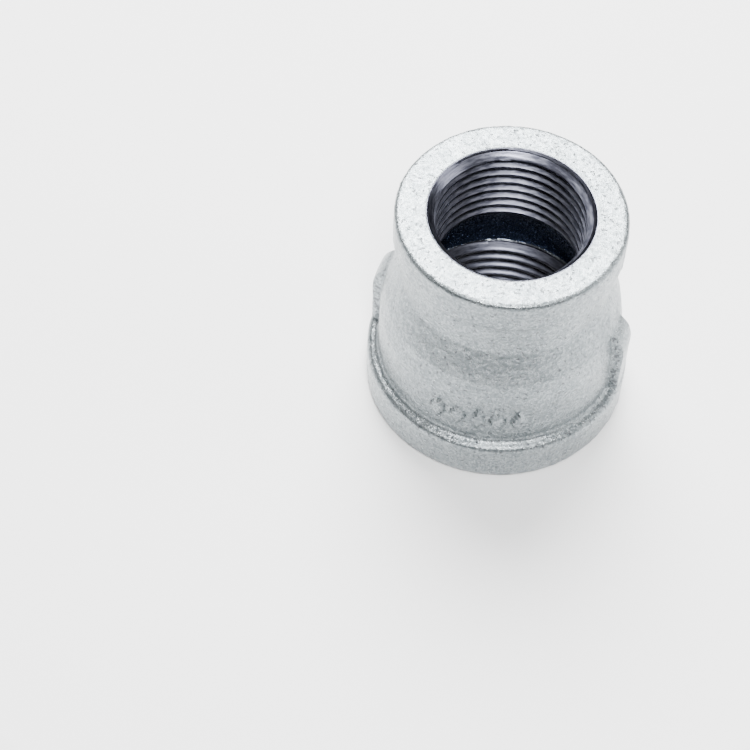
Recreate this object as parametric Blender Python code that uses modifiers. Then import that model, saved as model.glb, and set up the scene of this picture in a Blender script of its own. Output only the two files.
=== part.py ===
"""Concentric reducer: a reducing pipe socket, one malleable-iron casting, threaded at both ends.

Metres, +Z up. The origin is the centre of the large end face, and the flow axis is +Z.
The casting stands on its large end. Its body is one turned section with two moulding ribs
joined to it, and both sockets are cut with real helical pipe threads.
"""
import bpy
import bmesh
from math import acos, cos, degrees, pi, radians, sin, tan
from mathutils import Matrix

# ---- driving dimensions (millimetres, turned into metres by MM) ----
MM = 0.001
LENGTH = 42.9                  # face to face
ROUND_STEPS = 40               # facets round the casting
THREAD_STEPS = 24              # facets in one turn of a thread

SMALL_BAND_RADIUS = 18.6
SMALL_BAND_HEIGHT = 6.8
NECK_RADIUS = 17.2
NECK_HEIGHT = 29.0             # where the neck starts to open into the shoulder
RIDGE_RADIUS = 19.5            # soft ridge where the shoulder turns into the body
RIDGE_HEIGHT = 22.7
SHOULDER_HEIGHT = 18.5         # where the body has reached its full radius
BODY_RADIUS = 20.2
BODY_DRAFT = 0.2               # extra radius of the body at the large band
LARGE_BAND_RADIUS = 22.4
LARGE_BAND_HEIGHT = 8.3
EDGE_ROUND = 1.2               # rounded outer edges of both bands
RIM_ROUND = 0.8                # the small end face's own, tighter outer edge
ROOT_FILLET = 0.7              # casting fillet at the foot of each band

INCH = 25.4
LARGE_THREAD_MAJOR = 33.249 / 2    # 1 inch taper pipe thread, 11 per inch, at its mouth
LARGE_THREAD_PITCH = INCH / 11.0
LARGE_THREAD_LENGTH = 15.6
SMALL_THREAD_MAJOR = 26.441 / 2    # 3/4 inch taper pipe thread, 14 per inch, at its mouth
SMALL_THREAD_PITCH = INCH / 14.0
SMALL_THREAD_LENGTH = 14.0
THREAD_TAPER = 1.0 / 32.0      # loss of radius for each unit of depth into a socket
THREAD_DEPTH = 0.6403          # depth of the thread form, in pitches
THREAD_ROOT = 0.167            # width of the groove's flat root, in pitches
FLANK_ANGLE = radians(27.5)
MOUTH_CHAMFER = 0.22           # how far each mouth opens past the thread's largest radius

CHAMBER_RADIUS = 16.8          # unmachined cored space between the two threads
CHAMBER_STRAIGHT_TOP = 20.5
CHAMBER_STEP = 1.4             # height of the corner where the chamber opens past the thread
CHAMBER_THROAT_RADIUS = 13.4

RIB_WIDTH = 5.4
RIB_RADIUS = 22.1              # outer face of a rib, from the flow axis
RIB_TOP = 23.8
RIB_CORNER = 6.5               # round in which a rib falls away to the shoulder
RIB_EDGE = 0.5
RIB_ANGLE = radians(-18.0)     # direction of the first rib from +X; the other is opposite
BEVEL_ANGLE = radians(50.0)     # edges of the ribs sharper than this are rounded

OVERCUT = 0.5                  # how far a cutter reaches past the surface that it cuts
SPARE_TURNS = 2                # turns of a thread cutter past the ends of its socket


def clear_scene():
    for item in list(bpy.data.objects):
        bpy.data.objects.remove(item, do_unlink=True)


def new_collection(name):
    group = bpy.data.collections.new(name)
    bpy.context.scene.collection.children.link(group)
    return group


def galvanised_iron():
    """Hot-dip galvanised malleable iron: pale blue-grey, dull metal."""
    material = bpy.data.materials.new("galvanised_iron")
    material.use_nodes = True
    shader = material.node_tree.nodes["Principled BSDF"]
    shader.inputs["Base Color"].default_value = (0.60, 0.64, 0.65, 1.0)
    shader.inputs["Metallic"].default_value = 0.85
    shader.inputs["Roughness"].default_value = 0.42
    return material


def arc(centre, radius, start, end, count):
    """Points on an arc in the (radius, height) plane, ends included; angles in degrees."""
    points = []
    for index in range(count + 1):
        angle = radians(start + (end - start) * index / count)
        points.append((centre[0] + radius * cos(angle), centre[1] + radius * sin(angle)))
    return points


def ease(lower, upper, count):
    """Points of a smooth S from one (radius, height) point to another, ends included."""
    points = []
    for index in range(count + 1):
        part = index / count
        blend = (1.0 - cos(pi * part)) / 2.0
        radius = lower[0] + (upper[0] - lower[0]) * blend
        points.append((radius, lower[1] + (upper[1] - lower[1]) * part))
    return points


def outer_profile():
    """The outside of the casting, from the small end's face down to the large end's face."""
    band_floor = LENGTH - SMALL_BAND_HEIGHT
    body_foot = BODY_RADIUS + BODY_DRAFT
    small_rim = SMALL_BAND_RADIUS - RIM_ROUND
    small_edge = SMALL_BAND_RADIUS - EDGE_ROUND
    large_edge = LARGE_BAND_RADIUS - EDGE_ROUND
    points = arc((small_rim, LENGTH - RIM_ROUND), RIM_ROUND, 90, 0, 3)
    points += arc((small_edge, band_floor + EDGE_ROUND), EDGE_ROUND, 0, -72, 2)
    points.append((NECK_RADIUS, band_floor - ROOT_FILLET))
    points.append((NECK_RADIUS, NECK_HEIGHT))
    points.append((RIDGE_RADIUS, RIDGE_HEIGHT))
    points.append((BODY_RADIUS, SHOULDER_HEIGHT))
    points.append((body_foot, LARGE_BAND_HEIGHT + ROOT_FILLET))
    points.append((body_foot + ROOT_FILLET, LARGE_BAND_HEIGHT))
    points += arc((large_edge, LARGE_BAND_HEIGHT - EDGE_ROUND), EDGE_ROUND, 80, 0, 3)
    points += arc((large_edge, EDGE_ROUND), EDGE_ROUND, 0, -90, 3)
    return points


def inner_profile():
    """The tapering bore before threading, from the large mouth up to the small mouth."""
    large_minor = LARGE_THREAD_MAJOR - THREAD_DEPTH * LARGE_THREAD_PITCH
    small_minor = SMALL_THREAD_MAJOR - THREAD_DEPTH * SMALL_THREAD_PITCH
    large_mouth = LARGE_THREAD_MAJOR + MOUTH_CHAMFER
    small_mouth = SMALL_THREAD_MAJOR + MOUTH_CHAMFER
    small_floor = LENGTH - SMALL_THREAD_LENGTH
    points = [(large_mouth, 0.0)]
    points.append((large_minor, large_mouth - large_minor))
    points.append((large_minor - THREAD_TAPER * LARGE_THREAD_LENGTH, LARGE_THREAD_LENGTH))
    points.append((CHAMBER_RADIUS - ROOT_FILLET, LARGE_THREAD_LENGTH + ROOT_FILLET))
    points.append((CHAMBER_RADIUS, LARGE_THREAD_LENGTH + CHAMBER_STEP))
    throat = (CHAMBER_THROAT_RADIUS, small_floor - ROOT_FILLET)
    points += ease((CHAMBER_RADIUS, CHAMBER_STRAIGHT_TOP), throat, 5)
    points.append((small_minor - THREAD_TAPER * SMALL_THREAD_LENGTH, small_floor))
    points.append((small_minor, LENGTH - (small_mouth - small_minor)))
    points.append((small_mouth, LENGTH))
    return points


def turned_object(name, points, collection):
    """A closed section turned about Z; the section starts down its outer side."""
    mesh = bpy.data.meshes.new(name)
    vertices = [(radius * MM, 0.0, height * MM) for radius, height in points]
    edges = [(index, (index + 1) % len(vertices)) for index in range(len(vertices))]
    mesh.from_pydata(vertices, edges, [])
    turned = bpy.data.objects.new(name, mesh)
    collection.objects.link(turned)
    screw = turned.modifiers.new("turn", "SCREW")
    screw.axis = "Z"
    screw.angle = 2.0 * pi
    screw.steps = ROUND_STEPS
    screw.render_steps = ROUND_STEPS
    screw.use_merge_vertices = True
    screw.merge_threshold = 0.00001
    screw.use_smooth_shade = True
    return turned


def thread_section(major, pitch):
    """Cross-section of the cutter for one pipe thread, wider than the groove on its inside."""
    depth = THREAD_DEPTH * pitch
    minor = major - depth
    root_half = THREAD_ROOT * pitch / 2.0
    mouth_half = root_half + depth * tan(FLANK_ANGLE)
    inside = minor - OVERCUT
    return [(inside, mouth_half), (minor, mouth_half), (major, root_half),
            (major, -root_half), (minor, -mouth_half), (inside, -mouth_half)]


def taper_thread(mesh, start_height, mouth_height):
    """Draws a helix in towards the axis with its depth inside the socket's mouth."""
    for vertex in mesh.vertices:
        depth = abs(mouth_height - start_height - vertex.co.z / MM)
        radius = vertex.co.xy.length
        share = 1.0 - THREAD_TAPER * depth * MM / radius
        vertex.co.x *= share
        vertex.co.y *= share


def thread_cutter(name, major, pitch, start_height, turns, mouth_height, collection):
    """A closed right-hand helical ridge that cuts a tapering internal thread."""
    mesh = bpy.data.meshes.new(name)
    section = thread_section(major, pitch)
    vertices = [(radius * MM, 0.0, height * MM) for radius, height in section]
    edges = [(index, (index + 1) % len(vertices)) for index in range(len(vertices))]
    mesh.from_pydata(vertices, edges, [])
    helix = bpy.data.objects.new(name + "_helix", mesh)
    collection.objects.link(helix)
    screw = helix.modifiers.new("helix", "SCREW")
    screw.axis = "Z"
    screw.angle = 2.0 * pi
    screw.screw_offset = pitch * MM
    screw.iterations = turns
    screw.steps = THREAD_STEPS
    screw.render_steps = THREAD_STEPS
    screw.use_merge_vertices = False
    bpy.context.view_layer.update()
    graph = bpy.context.evaluated_depsgraph_get()
    solid = bpy.data.meshes.new_from_object(helix.evaluated_get(graph))
    bpy.data.objects.remove(helix, do_unlink=True)
    taper_thread(solid, start_height, mouth_height)
    work = bmesh.new()
    work.from_mesh(solid)
    bmesh.ops.holes_fill(work, edges=[edge for edge in work.edges if edge.is_boundary])
    bmesh.ops.recalc_face_normals(work, faces=work.faces)
    work.to_mesh(solid)
    work.free()
    cutter = bpy.data.objects.new(name, solid)
    cutter.location = (0.0, 0.0, start_height * MM)
    cutter.rotation_euler = (0.0, 0.0, pi / ROUND_STEPS)
    collection.objects.link(cutter)
    cutter.hide_render = True
    cutter.display_type = "WIRE"
    return cutter


def rib_outline():
    """Side outline of one rib in (radius, height); its round ends inside the wall."""
    wall = (BODY_RADIUS + CHAMBER_RADIUS) / 2.0
    foot = LARGE_BAND_HEIGHT - 2.0 * EDGE_ROUND
    centre = (RIB_RADIUS - RIB_CORNER, RIB_TOP - RIB_CORNER)
    end = degrees(acos((wall - centre[0]) / RIB_CORNER))
    points = [(wall, foot), (RIB_RADIUS, foot)]
    points += arc(centre, RIB_CORNER, 0, end, 6)
    return points


def rib(name, angle, collection):
    """A parallel-sided moulding rib, standing up from the large band to the shoulder."""
    work = bmesh.new()
    outline = [work.verts.new((radius * MM, -RIB_WIDTH / 2.0 * MM, height * MM))
               for radius, height in rib_outline()]
    face = work.faces.new(outline)
    swept = bmesh.ops.extrude_face_region(work, geom=[face])
    moved = [item for item in swept["geom"] if isinstance(item, bmesh.types.BMVert)]
    bmesh.ops.translate(work, verts=moved, vec=(0.0, RIB_WIDTH * MM, 0.0))
    bmesh.ops.recalc_face_normals(work, faces=work.faces)
    mesh = bpy.data.meshes.new(name)
    work.to_mesh(mesh)
    work.free()
    mesh.transform(Matrix.Rotation(angle, 4, "Z"))
    piece = bpy.data.objects.new(name, mesh)
    collection.objects.link(piece)
    bevel = piece.modifiers.new("edge", "BEVEL")
    bevel.width = RIB_EDGE * MM
    bevel.segments = 1
    bevel.limit_method = "ANGLE"
    bevel.angle_limit = BEVEL_ANGLE
    piece.hide_render = True
    piece.display_type = "WIRE"
    return piece


def combine(target, other, operation):
    change = target.modifiers.new(other.name, "BOOLEAN")
    change.operation = operation
    change.solver = "EXACT"
    change.object = other


def reducer_body(parts, cutters):
    body = turned_object("reducer_body", outer_profile() + inner_profile(), parts)
    body.data.materials.append(galvanised_iron())
    for number in (0, 1):
        ridge = rib("rib_%d" % (number + 1), RIB_ANGLE + pi * number, cutters)
        combine(body, ridge, "UNION")
    large_turns = int(LARGE_THREAD_LENGTH / LARGE_THREAD_PITCH) + SPARE_TURNS
    small_turns = int(SMALL_THREAD_LENGTH / SMALL_THREAD_PITCH) + SPARE_TURNS
    large = thread_cutter("large_thread", LARGE_THREAD_MAJOR, LARGE_THREAD_PITCH,
                          -LARGE_THREAD_PITCH, large_turns, 0.0, cutters)
    small = thread_cutter("small_thread", SMALL_THREAD_MAJOR, SMALL_THREAD_PITCH,
                          LENGTH - SMALL_THREAD_LENGTH - SMALL_THREAD_PITCH, small_turns,
                          LENGTH, cutters)
    combine(body, large, "DIFFERENCE")
    combine(body, small, "DIFFERENCE")
    return body


clear_scene()
parts_collection = new_collection("concentric_reducer")
cutter_collection = new_collection("cutters")
reducer_body(parts_collection, cutter_collection)
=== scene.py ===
"""Looks of the concentric reducer: one galvanised casting with a helical thread in each end.

Sizes are in millimetres until a mesh is made from them, and in metres after that.
"""
from math import atan2, cos, pi, radians, sin, sqrt

import bpy
from mathutils import Matrix, Vector, noise


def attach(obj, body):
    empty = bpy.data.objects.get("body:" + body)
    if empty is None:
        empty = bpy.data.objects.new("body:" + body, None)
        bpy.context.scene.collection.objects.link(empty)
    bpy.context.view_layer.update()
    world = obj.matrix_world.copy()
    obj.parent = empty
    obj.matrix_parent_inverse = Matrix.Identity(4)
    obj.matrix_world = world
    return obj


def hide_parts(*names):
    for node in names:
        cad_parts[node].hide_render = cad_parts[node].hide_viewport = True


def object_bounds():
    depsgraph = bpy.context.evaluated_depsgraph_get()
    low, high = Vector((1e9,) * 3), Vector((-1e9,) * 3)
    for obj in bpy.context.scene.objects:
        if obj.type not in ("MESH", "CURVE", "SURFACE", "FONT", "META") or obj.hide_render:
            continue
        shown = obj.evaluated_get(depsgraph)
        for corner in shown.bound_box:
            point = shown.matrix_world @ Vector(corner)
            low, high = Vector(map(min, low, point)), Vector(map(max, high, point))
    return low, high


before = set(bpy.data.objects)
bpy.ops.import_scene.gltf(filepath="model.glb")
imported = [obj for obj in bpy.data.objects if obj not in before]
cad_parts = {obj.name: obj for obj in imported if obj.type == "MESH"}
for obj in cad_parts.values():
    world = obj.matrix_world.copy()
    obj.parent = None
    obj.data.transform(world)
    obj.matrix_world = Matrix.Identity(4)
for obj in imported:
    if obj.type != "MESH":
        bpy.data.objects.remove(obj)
cad_low, cad_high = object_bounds()

# ---- sizes of the casting, in millimetres; MM turns them into metres ----
MM = 0.001
LENGTH = cad_high.z / MM
SMALL_BAND_RADIUS = 18.6
SMALL_BAND_HEIGHT = 6.8
NECK_RADIUS = 17.2
NECK_HEIGHT = 29.0
RIDGE_RADIUS = 19.5            # soft ridge where the shoulder turns into the body
RIDGE_HEIGHT = 22.7
SHOULDER_HEIGHT = 18.5
BODY_RADIUS = 20.2
BODY_DRAFT = 0.2
LARGE_BAND_RADIUS = 22.26      # just inside the frame's own band, so that the rough skin fits in
LARGE_BAND_HEIGHT = 8.3
EDGE_ROUND = 1.2
RIM_ROUND = 0.8
ROOT_FILLET = 0.9

INCH = 25.4
LARGE_MAJOR = 33.249 / 2
LARGE_PITCH = INCH / 11.0
LARGE_LENGTH = 15.6
SMALL_MAJOR = 26.441 / 2
SMALL_PITCH = INCH / 14.0
SMALL_LENGTH = 14.0
THREAD_TAPER = 1.0 / 32.0      # loss of radius for each unit of depth into a socket
THREAD_DEPTH = 0.6403          # in pitches
CREST_HALF = 0.13              # half width of a thread's flat crest, in pitches
ROOT_START = 0.43              # where a flank reaches the root, in pitches from the crest's middle
MOUTH_CHAMFER = 0.22
CHAMFER_SLOPE = 1.0            # height of a mouth chamfer for each millimetre of radius
MOUTH_LIP = 0.25               # flat ring between a mouth's edge and the rough end face

CHAMBER_RADIUS = 16.8
CHAMBER_STRAIGHT_TOP = 20.5
CHAMBER_ROUND = 1.0
CHAMBER_FOOT = 1.2             # height of the chamber's lower round above the large thread
LEDGE_WIDTH = 1.3              # where the ledge over the large thread starts, from its crests
LEDGE_RISE = 0.15
THROAT_RADIUS = 13.4
THROAT_DROP = 0.6              # gap between the chamber's roof and the small thread

RIB_HALF_WIDTH = 2.7
RIB_RADIUS = 22.05
RIB_TOP = 23.8
RIB_CORNER = 6.5
RIB_ANGLES = (radians(-18.0), radians(162.0))
RIB_DRAFT = 0.35               # half the width over which a rib's flank falls
RIB_REACH = 0.5                # angle from a rib's middle past which nothing of it is left

LOZENGES = 5
LOZENGE_FIRST = -120.0         # direction of the first one, in degrees
LOZENGE_STEP = 9.6
LOZENGE_HALF_WIDTH = 1.4
LOZENGE_HALF_HEIGHT = 2.4
LOZENGE_MIDDLE = 14.2
LOZENGE_RISE = 0.75
LOZENGE_EDGE = (0.84, 1.05)    # from its flat top to its foot, in half sizes

PARTING_RISE = 0.10
PARTING_EDGE = (0.1, 0.55)     # from the mould line's top to its foot

# ---- heights over which a feature fades in or out ----
RIB_START = (6.6, 8.6)
RIB_END = (25.7, 28.6)
LARGE_BAND_END = (7.6, 9.0)
SMALL_BAND_START = (35.3, 36.7)

# ---- relief of the cast surfaces: rise, size of a feature, seed ----
SKIN_WAVES = ((0.06, 9.0, 3.1), (0.05, 2.6, 7.7), (0.048, 1.0, 12.3))
RIB_WAVE = (0.16, 1.0, 21.0)
DENTS = (0.12, 1.2, 33.0)
DENT_EDGE = (0.46, 0.72)
CHAMBER_WAVES = ((0.10, 2.2, 41.0), (0.18, 5.0, 44.0))

FACE_SINK = 0.02               # how far the end faces' relief stays under the true face
BOX_GAP = 0.02                 # how far the skin stays inside the frame's box
SEAM = 0.02                    # nearest that a thread's row comes to either end of its socket

CHAMBER_SHADE_MARK = 2.0               # value of the roughness-and-shade mark in the cored chamber, which picks its painted shade; a rib's flank has 1

# ---- fineness of the mesh ----
SKIN_ROW = 0.34                # spacing of the rows along the outside
EVEN_COLUMNS = 350             # even columns round the outside, before the ribs' extra ones
THREAD_ROWS = 12               # rows in one pitch
CHAMBER_ROW = 0.8
FLANK_REACH = radians(1.7)     # half the angle that a flank's closer columns cover
FLANK_COLUMNS = 4              # closer columns on each side of a flank's middle

# ---- colours, in linear light ----
ZINC_DARK = (0.175, 0.200, 0.212, 1.0)
ZINC_LIGHT = (0.330, 0.362, 0.374, 1.0)
SPECK = (0.10, 0.105, 0.115, 1.0)
# painted shade: a near-black blue that stands for the shade inside the cored chamber
CHAMBER_PAINTED_SHADE = (0.028, 0.041, 0.078, 1.0)
IRON_DARK = (0.085, 0.088, 0.116, 1.0)
IRON_LIGHT = (0.165, 0.170, 0.210, 1.0)
# painted shade: near-black that darkens the threads lower in the bore, where shade gathers
BORE_PAINTED_SHADE = (0.022, 0.023, 0.030, 1.0)
BUMP_DEPTH = 0.00010           # in metres

# ---- studio, in metres ----
LIGHT_AIM = (0.0, 0.0, 0.02)
CAMERA_PLACE = (-0.02070, -0.19986, 0.28648)
CAMERA_ELEVATION = 0.9668
CAMERA_ROLL = 0.0327
FLOOR_HALF = 3.0
FLOOR_DROP = 0.0001
CARD_RADIUS = 0.105
CARD_TOP = 0.080
CARD_STEPS = 12
CARD_START = radians(-168.0)
CARD_END = radians(-52.0)


# ------------------------------------------------------------------ profiles
def arc(centre, radius, start, end, count):
    """Points on an arc in the (radius, height) plane, ends included; angles in degrees."""
    points = []
    for index in range(count + 1):
        angle = radians(start + (end - start) * index / count)
        points.append((centre[0] + radius * cos(angle), centre[1] + radius * sin(angle)))
    return points


def ease(first, last, count):
    """Points of a smooth S from one (radius, height) point to another, ends included."""
    points = []
    for index in range(count + 1):
        part = index / count
        blend = (1.0 - cos(pi * part)) / 2.0
        points.append((first[0] + (last[0] - first[0]) * blend, first[1] + (last[1] - first[1]) * part))
    return points


def skin_outline():
    """The cast skin's outline, from the small mouth's edge over the outside to the large mouth's edge."""
    band_floor = LENGTH - SMALL_BAND_HEIGHT
    foot = BODY_RADIUS + BODY_DRAFT
    small_rim = SMALL_BAND_RADIUS - RIM_ROUND
    small_edge = SMALL_BAND_RADIUS - EDGE_ROUND
    large_edge = LARGE_BAND_RADIUS - EDGE_ROUND
    points = [(SMALL_MAJOR + MOUTH_CHAMFER + MOUTH_LIP, LENGTH)]
    points += arc((small_rim, LENGTH - RIM_ROUND), RIM_ROUND, 90, 0, 6)
    points += arc((small_edge, band_floor + EDGE_ROUND), EDGE_ROUND, 0, -70, 6)
    points += arc((NECK_RADIUS + ROOT_FILLET, band_floor - ROOT_FILLET), ROOT_FILLET, 110, 180, 5)
    points.append((NECK_RADIUS, NECK_HEIGHT))
    points.append((RIDGE_RADIUS, RIDGE_HEIGHT))
    points.append((BODY_RADIUS, SHOULDER_HEIGHT))
    points += arc((foot + ROOT_FILLET, LARGE_BAND_HEIGHT + ROOT_FILLET), ROOT_FILLET, 180, 265, 5)
    points += arc((large_edge, LARGE_BAND_HEIGHT - EDGE_ROUND), EDGE_ROUND, 85, 0, 8)
    points += arc((large_edge, EDGE_ROUND), EDGE_ROUND, 0, -90, 8)
    points.append((LARGE_MAJOR + MOUTH_CHAMFER + MOUTH_LIP, 0.0))
    return points


def chamber_outline():
    """The cored space's outline, from the top of the large thread to the foot of the small one."""
    large_minor = LARGE_MAJOR - THREAD_DEPTH * LARGE_PITCH
    throat = (THROAT_RADIUS, LENGTH - SMALL_LENGTH - THROAT_DROP)
    points = [(large_minor + LEDGE_WIDTH, LARGE_LENGTH + LEDGE_RISE)]
    points += arc((CHAMBER_RADIUS - CHAMBER_ROUND, LARGE_LENGTH + CHAMBER_FOOT), CHAMBER_ROUND, -60, 0, 4)
    points += ease((CHAMBER_RADIUS, CHAMBER_STRAIGHT_TOP), throat, 10)
    return points


def resample(points, spacing):
    """The same line as evenly spaced points, ends included."""
    steps = [Vector(points[0])]
    lengths = [0.0]
    for point in points[1:]:
        gap = (Vector(point) - steps[-1]).length
        if gap > 1e-6:
            steps.append(Vector(point))
            lengths.append(lengths[-1] + gap)
    count = max(1, round(lengths[-1] / spacing))
    result = []
    cursor = 0
    for index in range(count + 1):
        target = lengths[-1] * index / count
        while cursor < len(lengths) - 2 and lengths[cursor + 1] < target:
            cursor += 1
        part = (target - lengths[cursor]) / (lengths[cursor + 1] - lengths[cursor])
        result.append(steps[cursor].lerp(steps[cursor + 1], min(1.0, part)))
    return result


def outward(points):
    """Unit normals of a line of (radius, height) points that has its material on its right side."""
    normals = []
    for index in range(len(points)):
        ahead = points[min(index + 1, len(points) - 1)]
        behind = points[max(index - 1, 0)]
        along = (ahead - behind).normalized()
        normals.append(Vector((-along.y, along.x)))
    return normals


# ------------------------------------------------------------------ columns round the axis
def smooth(low, high, value):
    """0 at low, 1 at high, and a smooth S between."""
    part = min(1.0, max(0.0, (value - low) / (high - low)))
    return part * part * (3.0 - 2.0 * part)


def turn_between(angle, other):
    """The signed turn from other to angle, from -pi to pi."""
    return atan2(sin(angle - other), cos(angle - other))


def column_angles():
    """Angles of the mesh's columns: even ones, with closer ones across each flank of a rib."""
    half = RIB_HALF_WIDTH / RIB_RADIUS
    flanks = [rib + side * half for rib in RIB_ANGLES for side in (-1, 1)]
    angles = []
    for index in range(EVEN_COLUMNS):
        angle = 2.0 * pi * index / EVEN_COLUMNS
        if all(abs(turn_between(angle, flank)) > FLANK_REACH for flank in flanks):
            angles.append(angle)
    for flank in flanks:
        for step in range(-FLANK_COLUMNS, FLANK_COLUMNS + 1):
            angles.append((flank + FLANK_REACH * step / (FLANK_COLUMNS + 0.6)) % (2.0 * pi))
    angles.sort()
    if len(angles) % 2:
        widest = max(range(len(angles) - 1), key=lambda i: angles[i + 1] - angles[i])
        angles.insert(widest + 1, (angles[widest] + angles[widest + 1]) / 2.0)
    return angles


# ------------------------------------------------------------------ relief of the cast skin
def fractal(point, size, seed):
    """Smooth noise from -1 to 1, with features about size millimetres across."""
    return noise.noise(Vector((point[0] + seed, point[1] - seed, point[2] + 2.0 * seed)) / size)


def rib_membership(angle):
    """1 on a rib, 0 off it, with a drafted flank between."""
    best = 0.0
    for rib in RIB_ANGLES:
        turn = turn_between(angle, rib)
        if abs(turn) < RIB_REACH:
            across = abs(RIB_RADIUS * sin(turn))
            best = max(best, 1.0 - smooth(RIB_HALF_WIDTH - RIB_DRAFT, RIB_HALF_WIDTH + RIB_DRAFT, across))
    return best


def rib_face(height):
    """Radius of a rib's outer face at a height, falling away in a round at the shoulder."""
    start = RIB_TOP - RIB_CORNER
    if height <= start:
        return RIB_RADIUS
    rise = min(height - start, RIB_CORNER)
    return RIB_RADIUS - RIB_CORNER + sqrt(RIB_CORNER ** 2 - rise ** 2)


def lozenge_relief(angle, height):
    """A generic row of plain raised lozenges on the body, in place of cast lettering."""
    relief = 0.0
    for number in range(LOZENGES):
        centre = radians(LOZENGE_FIRST + LOZENGE_STEP * number)
        across = abs(BODY_RADIUS * turn_between(angle, centre)) / LOZENGE_HALF_WIDTH
        along = abs(height - LOZENGE_MIDDLE) / LOZENGE_HALF_HEIGHT
        relief = max(relief, LOZENGE_RISE * (1.0 - smooth(*LOZENGE_EDGE, across + along)))
    return relief


def parting_relief(angle):
    """The faint mould line that crosses both bands in the plane of the ribs."""
    nearest = min(abs(turn_between(angle, rib)) for rib in RIB_ANGLES)
    return PARTING_RISE * (1.0 - smooth(*PARTING_EDGE, nearest * LARGE_BAND_RADIUS))


def waves(point, layers):
    """The sum of several layers of smooth noise, each with its own rise, size and seed."""
    return sum(rise * fractal(point, size, seed) for rise, size, seed in layers)


def skin_relief(point, flank):
    """How far the cast skin stands off its outline, in millimetres; rougher on a rib's flank."""
    rib_rise, rib_size, rib_seed = RIB_WAVE
    dent_depth, dent_size, dent_seed = DENTS
    relief = waves(point, SKIN_WAVES)
    relief += rib_rise * flank * fractal(point, rib_size, rib_seed)
    relief -= dent_depth * smooth(*DENT_EDGE, fractal(point, dent_size, dent_seed))
    return relief


# ------------------------------------------------------------------ the mesh
class Shape:
    """Points in millimetres with two marks each, and faces, gathered before they become a mesh."""

    def __init__(self):
        self.points = []
        self.machined = []
        self.rough_and_shade = []
        self.faces = []

    def ring(self, places, machined, rough_and_shade):
        first = len(self.points)
        for place, mark in zip(places, rough_and_shade):
            self.points.append(place)
            self.machined.append(machined)
            self.rough_and_shade.append(mark)
        return list(range(first, len(self.points)))

    def face(self, *corners):
        kept = [corner for index, corner in enumerate(corners) if corner != corners[index - 1]]
        if len(set(kept)) >= 3:
            self.faces.append(kept)

    def join(self, upper, lower):
        """Quads between two rings; seen from outside, upper is above lower."""
        for index in range(len(upper)):
            following = (index + 1) % len(upper)
            self.face(upper[index], lower[index], lower[following], upper[following])

    def join_halved(self, fine, coarse, flip):
        """Faces between a ring and one with every other of its columns."""
        for index in range(len(coarse)):
            following = (index + 1) % len(coarse)
            start, middle, end = (fine[(2 * index + step) % len(fine)] for step in range(3))
            for corners in ((start, coarse[index], middle), (middle, coarse[index], coarse[following]),
                            (middle, coarse[following], end)):
                self.face(*(corners[::-1] if flip else corners))

    def mesh(self, name):
        mesh = bpy.data.meshes.new(name)
        mesh.from_pydata([Vector(point) * MM for point in self.points], [], self.faces)
        for label, values in (("machined", self.machined), ("rough_cast_and_shade", self.rough_and_shade)):
            mark = mesh.attributes.new(label, "FLOAT", "POINT")
            mark.data.foreach_set("value", values)
        mesh.validate()
        return mesh


def polar(radius, angle, height):
    return (radius * cos(angle), radius * sin(angle), height)


def skin_rings(shape, angles):
    """The cast outside with both end faces; returns its first and last rings."""
    outline = resample(skin_outline(), SKIN_ROW)
    normals = outward(outline)
    members = [rib_membership(angle) for angle in angles]
    rings = []
    last = len(outline) - 1
    for row, (step, normal) in enumerate(zip(outline, normals)):
        calm = smooth(0, 2, row) * smooth(0, 2, last - row)
        on_body = smooth(*RIB_START, step.y) * (1.0 - smooth(*RIB_END, step.y))
        on_band = 1.0 - smooth(*LARGE_BAND_END, step.y) + smooth(*SMALL_BAND_START, step.y)
        lying = abs(normal.y) > 0.95
        places = []
        marks = []
        for angle, member in zip(angles, members):
            radius = step.x
            push = max(0.0, rib_face(step.y) - radius) * member * on_body
            flank = min(1.0, 4.0 * member * (1.0 - member)) * smooth(0.15, 0.6, push / max(member, 0.01))
            point = polar(radius + push, angle, step.y)
            relief = skin_relief(point, flank)
            if lying:
                relief = min(0.0, relief - FACE_SINK)
            else:
                relief += lozenge_relief(angle, step.y) + parting_relief(angle) * on_band
            relief *= calm
            stand = min(radius + push + normal.x * relief, cad_high.x / MM - BOX_GAP)
            rise = min(max(step.y + normal.y * relief, 0.0), LENGTH)
            places.append(polar(stand, angle, rise))
            marks.append(flank)
        rings.append(shape.ring(places, 0.0, marks))
    for upper, lower in zip(rings, rings[1:]):
        shape.join(upper, lower)
    return rings[0], rings[-1]


def thread_radius(phase, major, pitch):
    """Radius of an internal thread at a fraction of its pitch from the middle of a crest."""
    off = abs((phase + 0.5) % 1.0 - 0.5)
    sunk = min(1.0, max(0.0, (off - CREST_HALF) / (ROOT_START - CREST_HALF)))
    return major - THREAD_DEPTH * pitch * (1.0 - sunk)


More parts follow.
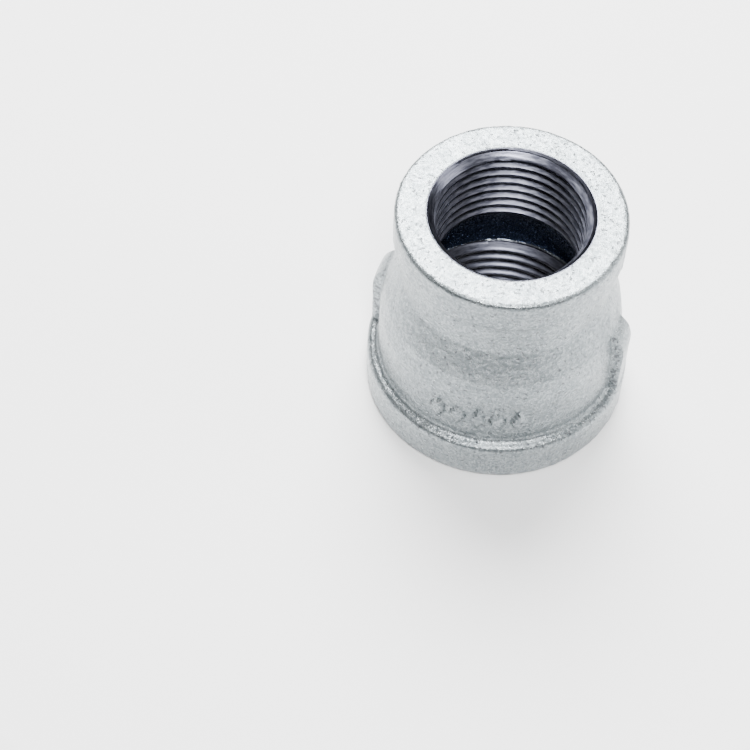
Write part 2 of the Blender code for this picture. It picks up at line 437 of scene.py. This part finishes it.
def thread_wall(shape, angles, floor, roof, major, pitch, start, mouth_at_roof):
    """A helical thread between two heights; returns its lowest and highest rings."""

    def wall(angle, height):
        phase = (height - start) / pitch - angle / (2.0 * pi)
        depth = (roof - height) if mouth_at_roof else (height - floor)
        chamfer = major + MOUTH_CHAMFER - depth / CHAMFER_SLOPE
        return max(thread_radius(phase, major, pitch) - THREAD_TAPER * depth, chamfer)

    bottom = shape.ring([polar(wall(a, floor), a, floor) for a in angles], 1.0, [0.0] * len(angles))
    top = shape.ring([polar(wall(a, roof), a, roof) for a in angles], 1.0, [0.0] * len(angles))
    turns = int((roof - floor) / pitch) + 3
    base = floor - pitch * 1.5
    columns = []
    for index, angle in enumerate(angles):
        column = []
        for row in range(turns * THREAD_ROWS + 1):
            height = base + pitch * (row / THREAD_ROWS + angle / (2.0 * pi))
            if height <= floor + SEAM:
                column.append(bottom[index])
            elif height >= roof - SEAM:
                column.append(top[index])
            else:
                column += shape.ring([polar(wall(angle, height), angle, height)], 1.0, [0.0])
        columns.append(column)
    for index, column in enumerate(columns):
        following = columns[(index + 1) % len(columns)]
        shift = THREAD_ROWS if index == len(columns) - 1 else 0
        for row in range(len(column) - 1):
            low = min(row + shift, len(column) - 1)
            high = min(row + 1 + shift, len(column) - 1)
            shape.face(column[row], column[row + 1], following[high], following[low])
    return bottom, top


def chamber_rings(shape, angles):
    """The cored space between the threads; returns its lowest and highest rings."""
    outline = resample(chamber_outline(), CHAMBER_ROW)
    normals = outward(outline)
    rings = []
    for step, normal in zip(outline, normals):
        places = []
        for angle in angles:
            point = polar(step.x, angle, step.y)
            relief = waves(point, CHAMBER_WAVES)
            places.append(polar(step.x - normal.x * relief, angle, step.y - normal.y * relief))
        # this mark calls up the chamber's painted shade colour in the material
        rings.append(shape.ring(places, 0.0, [CHAMBER_SHADE_MARK] * len(angles)))
    for lower, upper in zip(rings, rings[1:]):
        shape.join(lower, upper)
    return rings[0], rings[-1]


def casting_shape():
    """The whole casting as one closed surface: skin, two threads and the chamber between them."""
    shape = Shape()
    angles = column_angles()
    inner = angles[::2]
    small_edge, large_edge = skin_rings(shape, angles)
    large_floor, large_roof = thread_wall(shape, inner, 0.0, LARGE_LENGTH, LARGE_MAJOR, LARGE_PITCH,
                                          0.0, False)
    small_floor, small_roof = thread_wall(shape, inner, LENGTH - SMALL_LENGTH, LENGTH, SMALL_MAJOR,
                                          SMALL_PITCH, LENGTH, True)
    chamber_floor, chamber_roof = chamber_rings(shape, inner)
    shape.join_halved(large_edge, large_floor, False)
    shape.join(large_roof, chamber_floor)
    shape.join(chamber_roof, small_floor)
    shape.join_halved(small_edge, small_roof, True)
    return shape


# ------------------------------------------------------------------ material
class Nodes:
    """Short calls for building a material's nodes."""

    def __init__(self, material):
        material.use_nodes = True
        self.tree = material.node_tree
        self.shader = self.tree.nodes["Principled BSDF"]

    def put(self, socket, value):
        if isinstance(value, bpy.types.NodeSocket):
            self.tree.links.new(value, socket)
        else:
            socket.default_value = value

    def noise(self, vector, size, detail=3.0, roughness=0.55, stretch=None):
        if stretch:
            vector = self.vector_math("MULTIPLY", vector, stretch)
        texture = self.tree.nodes.new("ShaderNodeTexNoise")
        self.put(texture.inputs["Vector"], vector)
        texture.inputs["Scale"].default_value = 1.0 / size
        texture.inputs["Detail"].default_value = detail
        texture.inputs["Roughness"].default_value = roughness
        return texture.outputs["Fac"]

    def vector_math(self, operation, first, second):
        step = self.tree.nodes.new("ShaderNodeVectorMath")
        step.operation = operation
        self.put(step.inputs[0], first)
        self.put(step.inputs[1], second)
        return step.outputs["Vector"]

    def math(self, operation, first, second):
        step = self.tree.nodes.new("ShaderNodeMath")
        step.operation = operation
        self.put(step.inputs[0], first)
        self.put(step.inputs[1], second)
        return step.outputs[0]

    def remap(self, value, low, high, to_low=0.0, to_high=1.0):
        step = self.tree.nodes.new("ShaderNodeMapRange")
        step.interpolation_type = "SMOOTHSTEP"
        for name, number in (("Value", value), ("From Min", low), ("From Max", high),
                             ("To Min", to_low), ("To Max", to_high)):
            self.put(step.inputs[name], number)
        return step.outputs["Result"]

    def mix_colour(self, share, first, second):
        step = self.tree.nodes.new("ShaderNodeMix")
        step.data_type = "RGBA"
        for place, value in ((0, share), (6, first), (7, second)):
            self.put(step.inputs[place], value)
        return step.outputs[2]

    def mix_number(self, share, first, second):
        step = self.tree.nodes.new("ShaderNodeMix")
        for place, value in ((0, share), (2, first), (3, second)):
            self.put(step.inputs[place], value)
        return step.outputs[0]

    def bump(self, height, depth):
        step = self.tree.nodes.new("ShaderNodeBump")
        step.inputs["Distance"].default_value = depth
        step.inputs["Strength"].default_value = 1.0
        self.put(step.inputs["Height"], height)
        return step.outputs["Normal"]

    def attribute(self, name):
        step = self.tree.nodes.new("ShaderNodeAttribute")
        step.attribute_name = name
        return step.outputs["Fac"]


def zinc_and_iron():
    """Galvanised cast skin, and the darker machined iron of the threads where the mesh says so; painted
    shade darkens the cored chamber and the threads lower in the bore.
    """
    material = bpy.data.materials.new("galvanised_iron")
    nodes = Nodes(material)
    place = nodes.tree.nodes.new("ShaderNodeTexCoord").outputs["Object"]
    place = nodes.vector_math("MULTIPLY", place, (1.0 / MM, 1.0 / MM, 1.0 / MM))
    machined = nodes.attribute("machined")
    rough_cast_and_shade = nodes.attribute("rough_cast_and_shade")

    # painted shade: the cored chamber's mark swaps the zinc for a near-black blue, standing for the shade
    # inside the bore
    chamber_shade = nodes.remap(rough_cast_and_shade, 1.2, 1.9)
    flank = nodes.remap(rough_cast_and_shade, 0.2, 0.8)

    patches = nodes.noise(place, 3.6, 2.0)
    mottle = nodes.noise(place, 0.52, 4.0, 0.66)
    grain = nodes.noise(place, 0.20, 2.0, 0.6)
    tone = nodes.math("ADD", nodes.math("MULTIPLY", patches, 0.20), nodes.math("MULTIPLY", mottle, 0.80))
    zinc = nodes.mix_colour(nodes.remap(tone, 0.36, 0.64), ZINC_DARK, ZINC_LIGHT)
    specks = nodes.noise(nodes.vector_math("ADD", place, (17.0, 5.0, 9.0)), 0.62, 2.0, 0.5)
    limit = nodes.mix_number(flank, 0.635, 0.52)
    speck = nodes.remap(nodes.math("SUBTRACT", specks, limit), 0.0, 0.05)
    zinc = nodes.mix_colour(nodes.math("MULTIPLY", speck, 0.8), zinc, SPECK)
    zinc = nodes.mix_colour(chamber_shade, zinc, CHAMBER_PAINTED_SHADE)

    streak = nodes.noise(place, 0.30, 3.0, 0.6, (0.16, 0.16, 1.6))
    iron = nodes.mix_colour(nodes.remap(streak, 0.35, 0.65), IRON_DARK, IRON_LIGHT)
    # painted shade: the iron darkens lower down the bore, towards the large thread, as the shade that
    # fills it
    split = nodes.tree.nodes.new("ShaderNodeSeparateXYZ")
    nodes.put(split.inputs[0], place)
    bore_shade = nodes.remap(split.outputs["Z"], LARGE_LENGTH - 4.0, LENGTH - SMALL_LENGTH, 0.75, 0.0)
    iron = nodes.mix_colour(bore_shade, iron, BORE_PAINTED_SHADE)
    nodes.put(nodes.shader.inputs["Base Color"], nodes.mix_colour(machined, zinc, iron))

    skin_gloss = nodes.remap(mottle, 0.3, 0.7, 0.32, 0.25)
    iron_gloss = nodes.remap(streak, 0.3, 0.7, 0.28, 0.36)
    nodes.put(nodes.shader.inputs["Roughness"], nodes.mix_number(machined, skin_gloss, iron_gloss))
    nodes.put(nodes.shader.inputs["Metallic"], nodes.mix_number(machined, 0.90, 1.0))

    heights = nodes.math("ADD", mottle, nodes.math("MULTIPLY", grain, 0.45))
    heights = nodes.math("SUBTRACT", heights, nodes.math("MULTIPLY", speck, 0.8))
    heights = nodes.mix_number(machined, heights, nodes.math("MULTIPLY", streak, 0.10))
    nodes.put(nodes.shader.inputs["Normal"], nodes.bump(heights, BUMP_DEPTH))
    return material


# ------------------------------------------------------------------ the object
def casting():
    """The visible casting, which stands in for the frame's plain solid."""
    mesh = casting_shape().mesh("reducer_casting")
    mesh.shade_smooth()
    mesh.set_sharp_from_angle(angle=radians(42.0))
    mesh.materials.append(zinc_and_iron())
    piece = bpy.data.objects.new("reducer_casting", mesh)
    bpy.context.scene.collection.objects.link(piece)
    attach(piece, "root")
    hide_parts("reducer_body")


# ------------------------------------------------------------------ studio
def matt(name, colour, roughness):
    """A plain material for the studio's own pieces."""
    material = bpy.data.materials.new(name)
    material.use_nodes = True
    shader = material.node_tree.nodes["Principled BSDF"]
    shader.inputs["Base Color"].default_value = colour
    shader.inputs["Roughness"].default_value = roughness
    return material


def studio_floor():
    mesh = bpy.data.meshes.new("studio_floor")
    side = FLOOR_HALF
    corners = [(-side, -side, 0.0), (side, -side, 0.0), (side, side, 0.0), (-side, side, 0.0)]
    mesh.from_pydata(corners, [], [(0, 1, 2, 3)])
    ground = bpy.data.objects.new("studio_floor", mesh)
    ground.location = (0.0, 0.0, -FLOOR_DROP)
    mesh.materials.append(matt("pale_floor", (0.9, 0.9, 0.9, 1.0), 0.7))
    bpy.context.scene.collection.objects.link(ground)


def dark_flag():
    """A low black card bent round the front, that the shoulder mirrors as its dark band."""
    mesh = bpy.data.meshes.new("dark_flag")
    corners = []
    for index in range(CARD_STEPS + 1):
        angle = CARD_START + (CARD_END - CARD_START) * index / CARD_STEPS
        corners += [polar(CARD_RADIUS, angle, height) for height in (0.0, CARD_TOP)]
    quads = [(step, step + 2, step + 3, step + 1) for step in range(0, 2 * CARD_STEPS, 2)]
    mesh.from_pydata(corners, [], quads)
    card = bpy.data.objects.new("dark_flag", mesh)
    card.visible_camera = False
    card.visible_shadow = False
    mesh.materials.append(matt("black_card", (0.02, 0.02, 0.022, 1.0), 0.9))
    bpy.context.scene.collection.objects.link(card)


def soft_light(name, place, size, power):
    """A round soft light that faces the casting."""
    data = bpy.data.lights.new(name, "AREA")
    data.shape = "DISK"
    data.size = size
    data.energy = power
    lamp = bpy.data.objects.new(name, data)
    lamp.location = place
    lamp.rotation_euler = (Vector(LIGHT_AIM) - Vector(place)).to_track_quat("-Z", "Y").to_euler()
    bpy.context.scene.collection.objects.link(lamp)


def studio_world():
    """An overcast dome: bright overhead, dimmer towards the horizon."""
    world = bpy.data.worlds.new("soft_dome")
    world.use_nodes = True
    tree = world.node_tree
    direction = tree.nodes.new("ShaderNodeTexCoord").outputs["Generated"]
    split = tree.nodes.new("ShaderNodeSeparateXYZ")
    tree.links.new(direction, split.inputs[0])
    ramp = tree.nodes.new("ShaderNodeValToRGB")
    ramp.color_ramp.elements[0].position = 0.0
    ramp.color_ramp.elements[0].color = (0.06, 0.064, 0.072, 1.0)
    ramp.color_ramp.elements[1].position = 0.55
    ramp.color_ramp.elements[1].color = (1.0, 1.0, 1.0, 1.0)
    middle = ramp.color_ramp.elements.new(0.22)
    middle.color = (0.14, 0.147, 0.158, 1.0)
    tree.links.new(split.outputs["Z"], ramp.inputs["Fac"])
    tree.links.new(ramp.outputs["Color"], tree.nodes["Background"].inputs["Color"])
    tree.nodes["Background"].inputs["Strength"].default_value = 0.5
    bpy.context.scene.world = world


def camera():
    """A long lens above and in front, with the whole picture turned slightly clockwise."""
    right = Vector((1.0, 0.0, 0.0))
    up = Vector((0.0, sin(CAMERA_ELEVATION), cos(CAMERA_ELEVATION)))
    back = Vector((0.0, -cos(CAMERA_ELEVATION), sin(CAMERA_ELEVATION)))
    level = Matrix((right, up, back)).transposed()
    turned = level @ Matrix.Rotation(CAMERA_ROLL, 3, "Z")
    data = bpy.data.cameras.new("camera")
    data.lens = 96.0
    data.sensor_width = 36.0
    data.clip_start = 0.01
    view = bpy.data.objects.new("camera", data)
    view.matrix_world = Matrix.Translation(CAMERA_PLACE) @ turned.to_4x4()
    bpy.context.scene.collection.objects.link(view)
    bpy.context.scene.camera = view


camera()
casting()
studio_floor()
dark_flag()
studio_world()
soft_light("overhead", (-0.03, 0.40, 0.58), 0.50, 20.0)
soft_light("front", (0.02, -0.34, 0.66), 0.20, 8.5)
soft_light("left_side", (-0.60, 0.00, 0.30), 0.30, 0.15)
soft_light("right_side", (0.60, -0.05, 0.26), 0.34, 1.7)
